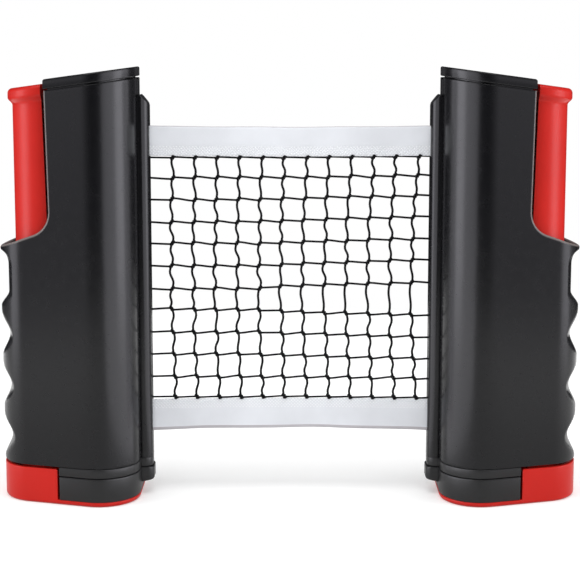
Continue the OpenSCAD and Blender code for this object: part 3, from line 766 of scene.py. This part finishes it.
def upright(column, steps, thick=None):
    """A cord that runs down through one column of knots."""
    path, r = [], []
    for row, (x, z) in enumerate(column):
        s = slant(row)
        if row:
            path.append((x + 0.42 * s, -0.1, z + 1.5))
        path += [(x + 0.3 * s, -0.15, z + 0.6), (x - 0.3 * s, -0.15, z - 0.6)]
        r += [cord_r] * (row > 0) + [thick or cord_r] * 2
        if row + 1 < len(column):
            x0, z0 = x - 0.55 * s, z - 1.5
            path.append((x0, 0, z0))
            r.append(cord_r)
            x1, z1 = column[row + 1][0] + 0.42 * slant(row + 1), column[row + 1][1] + 1.5
            bulge = rng.uniform(0.08, 0.36) * s
            for t in np.linspace(0, 1, steps + 2)[1:-1]:
                path.append((x0 + (x1 - x0) * smooth(t) - bulge * math.sin(2 * math.pi * t), 0.1 - 0.2 * t,
                             z0 + (z1 - z0) * t))
                r.append(cord_r)
    return path, r


def across(row, places, start, end, steps, end_z):
    """A cord that runs along one row through all its knots, from start to end in x."""
    s, dip = slant(row), 0.15 if row in border else 0.38
    path = [start]
    for x, z in [column[row] for column in places] + [(end + 1.2, end_z + dip * s)]:
        x0, z0, x1, z1 = path[-1][0], path[-1][2], x - 1.2, z - dip * s
        path += [(x0 + (x1 - x0) * t, 0.2, z0 + (z1 - z0) * (t + float(smooth(t))) / 2)
                 for t in np.linspace(0, 1, steps + 2)[1:-1]]
        path += [(x1, 0.2, z1), (x, 0.3, z), (x + 1.2, 0.2, z + dip * s)]
    return path[:-3] + [(end, 0, end_z)]


def wrap(place, row):
    """The cord that is wound round a crossing as its knot, a slanting bead 3.5 mm long."""
    x, z = place
    s, wide = slant(row), 0.56 if row in border else 0.48
    path = []
    for k in range(14):
        a, h = 2 * math.pi * 2.4 * k / 13, (k / 13 - 0.5) * 2.5
        off = wide * math.cos(a)
        path.append((x + s * (0.64 * h + 0.77 * off), -0.1 + 0.52 * math.sin(a), z + 0.77 * h - 0.64 * off))
    return path


columns = [first_x + pitch * c for c in range(row_count)]
places = knots_at(columns, lambda x: 1.2 + 1.5 * (x - first_x) / 110)
paths, radii = [], []
for column in places:
    path, r = upright(column, 6)
    paths.append(path)
    radii.append(r)
for row in range(row_count):
    z0, z1 = float(row_z(row, -slot_x)), float(row_z(row, slot_x))
    paths.append(across(row, places, (-slot_x, 0, z0), slot_x, 5, z1))
    radii.append(cord_r - (0.1 if row in border else 0.06))
drawn = tubes("cords", paths, radii, 6)
paths = [wrap(place, row) for column in places for row, place in enumerate(column)]
drawn = join([drawn, tubes("knots", paths, [knot_r] * len(paths), 5)], "drawn_net")

# The gathered part is made as it lies when the net is fully out, then squeezed into the slot.
pull = 1650.0
roll_u, roll_r, roll_turns, roll_core = 22.8, 14.6, 12.6, 5.3
leave = math.radians(200.6)  # where the net leaves the roll
bend = [(7.0, 0.0), (7.3, -0.1), (7.75, -1.2), (8.4, -3.0), (9.1, -5.1)]
bend += [(roll_u + roll_r * math.cos(leave + a), roll_r * math.sin(leave + a)) for a in (0.12, 0.25)]
rest_u = np.concatenate([np.linspace(slot_u - 3, slot_u, 40), np.linspace(slot_u, roll_side_u, 6000)[1:],
                         np.linspace(roll_side_u, 60, 40)[1:]])
# how far the drawn-out part's ends follow the other post, and the place on the smooth step that gives it
end_share, end_t = 0.475, 0.48333
reach = (roll_side_u - slot_u) / end_t
pulled_u = rest_u - smooth((roll_side_u - rest_u) / reach) * pull


def gather(piece, side):
    """Squeezes a piece made as it lies at full pull into the slot of the right or left post."""
    co = points(piece) / mm
    co[:, 0] = net_half + np.interp(co[:, 0], pulled_u, rest_u)
    move_points(piece, co * mm)
    if side < 0:
        mirror(piece, (-1, 1, 1))


def spread(piece):
    """Bakes the gathered part's placement into its points."""
    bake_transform(piece)


def stay_between(piece):
    """Bakes the drawn-out part's placement into its points."""
    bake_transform(piece)


gathered_nets = []
far_u = slot_u - pull * end_share
for side, name in ((-1, "left_gathered_net"), (1, "right_gathered_net")):
    edge = [float(row_z(row, side * slot_x)) for row in range(row_count)]
    spare = np.arange(far_u + 4, roll_side_u - 2, pitch)
    places = [[(u + rng.uniform(-0.3, 0.3), (row_top - row_pitch * row) + (edge[row] - row_top + row_pitch * row)
                * float(1 - smooth((u - far_u) / 90)) + rng.uniform(-0.2, 0.2) * (row not in border))
               for row in range(row_count)] for u in spare]
    paths, radii = [], []
    for column in places:
        path, r = upright(column, 2, 0.7)
        paths.append(path)
        radii.append(r)
    for row in range(row_count):
        z = row_top - row_pitch * row
        path = across(row, places, (far_u, 0, edge[row]), roll_side_u - 0.5, 1, z)
        paths.append(path + [(u, y, z) for u, y in bend])
        radii.append(cord_r)
    piece = tubes(name, paths, radii, 4)
    gather(piece, side)
    gathered_nets.append((piece, side))


def roll_line(r_out, per_turn=32):
    """Points of the net's spiral on the right roll, from where it leaves inwards, as (u, y)."""
    n = int(roll_turns * per_turn)
    a = np.linspace(0, 2 * math.pi * roll_turns, n + 1)
    r = r_out - (r_out - roll_core) * a / a[-1]
    return np.stack([roll_u + r * np.cos(leave + a), r * np.sin(leave + a)], -1)


spiral = roll_line(roll_r - wound_r)
step = distances(spiral)
wound_l = float(step[-1])
paths = [[(net_half + u, y, row_top - row_pitch * row) for u, y in spiral] for row in range(row_count)]
radii = [wound_r] * row_count
for along in np.arange(6, wound_l, pitch):
    u, y = np.interp(along, step, spiral[:, 0]), np.interp(along, step, spiral[:, 1])
    path, r = [], []
    for row in range(row_count):
        z = row_top - row_pitch * row
        path += [(net_half + u, y, z + h) for h in (0.9, 0, -0.9)]
        r += [wound_r, knot_r, wound_r]
    paths.append(path)
    radii.append(r)
right_wound = tubes("right_wound_cords", paths, radii, 4)
left_wound = copy_of(right_wound, "left_wound_cords")

cord = plastic("black nylon cord", (0.004, 0.004, 0.0046), 0.62, 0.2, 0.2,
               Specular_IOR_Level=0.07, Sheen_Weight=0.02)
tree = cord.node_tree
apart = node(tree, "SeparateXYZ", Vector=node(tree, "TexCoord").outputs["UV"])


def maths(tree, how, a, b):
    """A Math node between two sockets or numbers."""
    n = tree.nodes.new("ShaderNodeMath")
    n.operation = how
    for socket, v in zip(n.inputs, (a, b)):
        if isinstance(v, (int, float)):
            socket.default_value = v
        else:
            tree.links.new(v, socket)
    return n.outputs[0]


twist = maths(tree, "ADD", maths(tree, "MULTIPLY", apart.outputs["X"], 2 * math.pi / 1.3),
              maths(tree, "MULTIPLY", apart.outputs["Y"], 4 * math.pi))
strands = maths(tree, "ABSOLUTE", maths(tree, "SINE", twist, 0), 0)
feed(tree, tree.nodes["Principled BSDF"], Normal=relief(tree, strands, 0.6, 0.00015))
for piece in (drawn, gathered_nets[0][0], gathered_nets[1][0], left_wound, right_wound):
    finish_with(piece, cord)
stay_between(drawn)
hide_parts("net_mesh")
for piece, side in gathered_nets:
    spread(piece)
for side, piece in (("left", left_wound), ("right", right_wound)):
    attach(piece, side + "_spool")
    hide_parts(side + "_wound_net")

# ------------------------------------------------------------------ edge tapes
# White woven tape, folded over the net's upper and lower cord and sewn down; a stitched selvedge,
# 4.5 mm wide, runs along the mesh. Both tapes are wound on the rolls with the net.
tape_w, net_top, net_bottom, selvedge = 13.8, 165.5, 28.32, 4.5


def band(name, line, z0, fold_up, thick, sag=None, flutter=0.0, width=tape_w):
    """A folded tape along a line of (x, y) points, from the height z0 up, in mm."""
    line = np.asarray(line, float)
    cuts = np.array([0, 0.12, 0.4, 1.2, 2.4, 3.6, 4.4, 4.8, 6.2, 8, 9.8, 11.4, 12.8, 13.5, tape_w])
    piece, i, j, second = two_faced_grid(len(line) - 1, len(cuts) - 1)
    piece.name = name
    v = cuts[j] * width / tape_w  # from the mesh outwards
    t = np.gradient(line, axis=0)
    t /= np.linalg.norm(t, axis=1)[:, None]
    across_dir = np.stack([-t[:, 1], t[:, 0]], -1)
    along = distances(line)
    half = thick / 2 * (0.82 + 0.18 * smooth((v - selvedge + 0.3) / 0.6))
    half *= np.sqrt(np.clip(1 - (1 - np.clip(np.minimum(v / 0.35, (width - v) / 0.5), 0, 1)) ** 2, 0.04, 1))
    offset = half * np.where(second, -1, 1)
    if flutter:
        x = line[i, 0]
        free = np.sqrt(np.clip(1 - (x / slot_x) ** 2, 0, 1))
        ripple = np.sin(x / 8.3 + 0.6) * (v / width) ** 1.5 + 0.4 * np.sin(x / 4.1 + 2 + v / 5)
        offset = offset + flutter * free * ripple
    xy = line[i] + across_dir[i] * offset[:, None]
    z = z0 + (v if fold_up else width - v)
    if sag is not None:
        z = z + sag(line[i, 0], v)
    move_points(piece, np.stack([xy[:, 0], xy[:, 1], z], -1) * mm)
    layer = piece.data.uv_layers.active or piece.data.uv_layers.new(name="UVMap")
    loop_v = np.zeros(len(piece.data.loops), int)
    piece.data.loops.foreach_get("vertex_index", loop_v)
    layer.data.foreach_set("uv", np.stack([along[i[loop_v]], v[loop_v]], -1).ravel())
    close_up(piece, 50)
    return piece


def upper_sag(x, v):
    free = 1 - (x / slot_x) ** 2
    return -free * (0.3 + 0.25 * v / tape_w + 0.12 * np.sin(x / 6.5 + 1) * v / tape_w)


def lower_sag(x, v):
    free = 1 - (x / slot_x) ** 2
    return free * (0.5 + 0.8 * v / tape_w + 0.12 * np.sin(x / 7.5) * v / tape_w)


tape = plastic("white tape weave", (0.785, 0.805, 0.85), 0.85, 0.2, 0.05,
               Specular_IOR_Level=0.2, Sheen_Weight=0.2)
tree = tape.node_tree
shader = tree.nodes["Principled BSDF"]
apart = node(tree, "SeparateXYZ", Vector=node(tree, "TexCoord").outputs["UV"])


def waves(u_step, v_step):
    """A woven relief with the given steps along and across, in mm."""
    a = maths(tree, "SINE", maths(tree, "MULTIPLY", apart.outputs["X"], 2 * math.pi / u_step), 0)
    b = maths(tree, "SINE", maths(tree, "MULTIPLY", apart.outputs["Y"], 2 * math.pi / v_step), 0)
    return maths(tree, "MULTIPLY", a, b)


dots = maths(tree, "MAXIMUM", waves(1.45, 1.5), 0)
dots = maths(tree, "MULTIPLY", dots, maths(tree, "LESS_THAN", apart.outputs["Y"], selvedge))
weave = maths(tree, "ADD", maths(tree, "MULTIPLY", waves(0.62, 0.62), 0.25), dots)
ground = shader.inputs["Base Color"].links[0].from_socket
stitched = mixed(tree, ground, (0.96, 0.98, 1.0, 1), dots)
# painted shade: a grey band along the tape's folded edge
fold = maths(tree, "GREATER_THAN", apart.outputs["Y"], tape_w - 0.75)
feed(tree, shader, Base_Color=mixed(tree, stitched, (0.52, 0.50, 0.53, 1), fold),
     Normal=relief(tree, weave, 0.7, 0.0002))

wound_line = roll_line(roll_r - 0.3, 36)
tape_spare = np.linspace(far_u, roll_side_u - 0.5, 150)
for z0, fold_up, sag, width, middle_z0, which in (
        (net_top - tape_w, True, upper_sag, 13.35, 152.4, "upper"),
        (net_bottom, False, lower_sag, 14.5, 28.2, "lower")):
    middle = [(x, 0) for x in np.linspace(-slot_x, slot_x, 101)]
    piece = band(which + "_tape", middle, middle_z0, fold_up, 1.0, sag, 0.3, width)
    finish_with(piece, tape)
    stay_between(piece)
    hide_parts("top_tape" if which == "upper" else "bottom_tape")
    for side, post in ((-1, "left"), (1, "right")):
        piece = band(f"{post}_{which}_gathered_tape", [(u, 0) for u in tape_spare] + bend, z0, fold_up, 0.9)
        gather(piece, side)
        finish_with(piece, tape)
        spread(piece)
    wound = band(f"right_{which}_wound_tape", [(net_half + u, y) for u, y in wound_line], z0, fold_up, 0.62)
    for side, piece in (("right", wound), ("left", copy_of(wound, f"left_{which}_wound_tape"))):
        finish_with(piece, tape)
        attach(piece, side + "_spool")
        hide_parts(side + "_wound_tape")

# ------------------------------------------------------------------ table and light
# The net stands on a round white table top that keeps its shadow, before a white backdrop. Soft boxes
# on either side and overhead light it; its highlights are sheets and strips of light, which only
# reflections see, in a room that is dim in front and behind.
clear()
bpy.ops.mesh.primitive_circle_add(vertices=96, radius=0.45, fill_type="NGON", location=(0, 0, 0))
floor = bpy.context.object
floor.name = "floor"


def rays(tree, *names):
    """1 for the named kinds of rays, otherwise 0."""
    light_path = node(tree, "LightPath")
    most = light_path.outputs[names[0]]
    for name in names[1:]:
        most = maths(tree, "MAXIMUM", most, light_path.outputs[name])
    return most


def step_between(tree, value, low, high, to=(0, 1)):
    """A smooth step of a socket between two of its values."""
    n = node(tree, "MapRange", Value=value, From_Min=low, From_Max=high, To_Min=to[0], To_Max=to[1])
    n.interpolation_type = "SMOOTHSTEP"
    return n.outputs["Result"]


mat = bpy.data.materials.new("white table")
mat.use_nodes = True
tree = mat.node_tree
length = node(tree, "VectorMath")
length.operation = "LENGTH"
tree.links.new(node(tree, "TexCoord").outputs["Object"], length.inputs[0])
away = length.outputs["Value"]
seen = maths(tree, "MULTIPLY", step_between(tree, away, 0.14, 0.4, (0.27, 0.14)),
             rays(tree, "Is Camera Ray", "Is Transmission Ray"))
mirrored = maths(tree, "MULTIPLY", step_between(tree, away, 0.18, 0.44, (0, 0.85)), rays(tree, "Is Glossy Ray"))
feed(tree, tree.nodes["Principled BSDF"], Base_Color=(0.8, 0.8, 0.8, 1), Roughness=0.9, Specular_IOR_Level=0,
     Emission_Color=(1, 1, 1, 1), Emission_Strength=maths(tree, "ADD", seen, mirrored))
finish_with(floor, mat)

world = bpy.data.worlds.new("studio")
bpy.context.scene.world = world
world.use_nodes = True
tree = world.node_tree
way = node(tree, "SeparateXYZ", Vector=node(tree, "TexCoord").outputs["Generated"])
sideways = maths(tree, "ABSOLUTE", way.outputs["X"], 0)
turn = maths(tree, "ARCTAN2", sideways, maths(tree, "MULTIPLY", way.outputs["Y"], -1))  # 0 is behind the camera
room = step_between(tree, turn, math.radians(10), math.radians(45), (0.02, 0.58))
for value, low, high, to in ((way.outputs["Z"], -0.13, 0.0, (0.9, 2.5)),  # lightest at eye level
                             (way.outputs["Z"], 0.03, 0.3, (1.0, 0.35)),
                             (turn, math.radians(80), math.radians(130), (1, 0.06))):
    room = maths(tree, "MULTIPLY", room, step_between(tree, value, low, high, to))
white = rays(tree, "Is Camera Ray", "Is Transmission Ray")
glossy = rays(tree, "Is Glossy Ray")
level = maths(tree, "MULTIPLY", maths(tree, "SUBTRACT", 1, maths(tree, "ADD", white, glossy)), 0.76)
level = maths(tree, "ADD", maths(tree, "ADD", level, white), maths(tree, "MULTIPLY", room, glossy))
cool = mixed(tree, (1, 1, 1, 1), (0.94, 0.93, 1, 1), glossy)
feed(tree, tree.nodes["Background"], Color=cool, Strength=level)

# name, place, the point it faces, size, power, whether it lights and whether it is mirrored
for name, spot, aim, size, power, lights, mirrored in (
        ("left_box", (-5.9, -1.65, 0.4), (0, 0, 0.1), (3.1, 4.75), 237, True, False),
        ("right_box", (5.9, -1.65, 0.4), (0, 0, 0.1), (3.1, 4.75), 237, True, False),
        ("left_sheen", (-5.6, -1.57, 0.38), (0, 0, 0.1), (2.95, 4.5), 135, False, True),
        ("right_sheen", (5.6, -1.57, 0.38), (0, 0, 0.1), (2.95, 4.5), 135, False, True),
        ("top_box", (0, -1, 4.1), (0, 0, 0.1), (4.8, 2), 80, True, True),
        ("left_strip", (-0.0005, -0.114, 0.14), (-1, -0.114, 0.14), (0.252, 0.28), 0.42, False, True),
        ("right_strip", (0.0005, -0.114, 0.14), (1, -0.114, 0.14), (0.252, 0.28), 0.42, False, True)):
    clear()
    bpy.ops.object.light_add(type="AREA", location=spot)
    lamp = bpy.context.object
    lamp.name = name
    lamp.data.shape = "RECTANGLE"
    lamp.data.size, lamp.data.size_y = size
    lamp.data.energy = power
    lamp.visible_camera = False
    lamp.visible_glossy = mirrored
    if not lights:
        lamp.visible_diffuse = lamp.visible_shadow = False
        lamp.data.color = (0.94, 0.93, 1.0)
    x, y, z = (t - f for t, f in zip(aim, spot))
    lamp.rotation_euler = (math.atan2(math.hypot(x, y), -z), 0, math.atan2(-x, y))

bpy.context.scene.view_settings.view_transform = "Standard"
